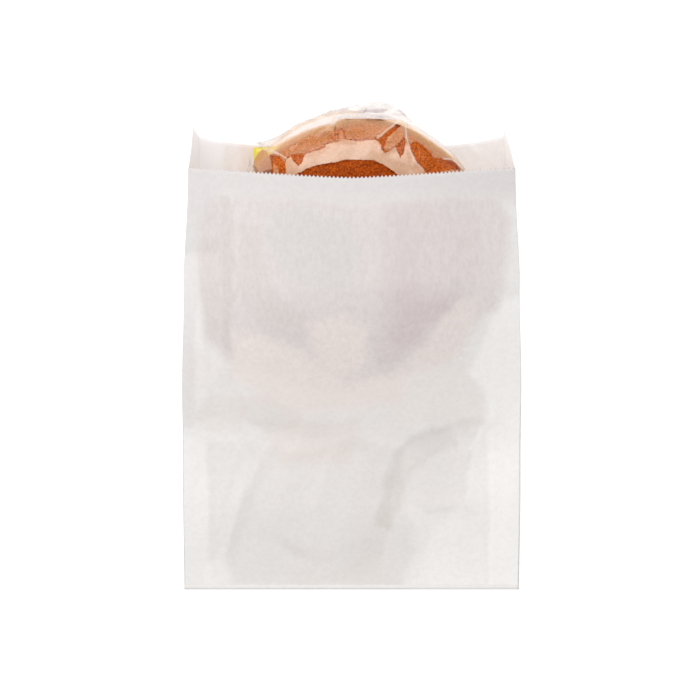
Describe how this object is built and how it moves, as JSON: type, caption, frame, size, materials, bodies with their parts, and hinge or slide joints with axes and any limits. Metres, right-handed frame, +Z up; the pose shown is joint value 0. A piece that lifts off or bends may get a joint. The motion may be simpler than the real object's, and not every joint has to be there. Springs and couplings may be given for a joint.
{
  "type": "paper bag",
  "caption": "Flat white paper bag with side gussets, a toothed mouth and a folded bottom, lying on its back with a film-wrapped round roll sandwich in its mouth.",
  "frame": {"origin": "on the table under the middle of the whole, on the flat underside of the bag's back panel", "axes": "+Z up from the table, square to the bag; +Y from the folded bottom edge towards the mouth; +X to the right across the bag, seen from above with the mouth at the top"},
  "size_m": [0.165, 0.2378, 0.057],
  "materials": {
    "bag_paper": "matt uncoated paper",
    "wrapped_bread": "baked brown crust under clear glossy film"
  },
  "bodies": {
    "root": {"paper_bag": "bag_paper", "wrapped_roll": "wrapped_bread"}
  },
  "joints": []
}
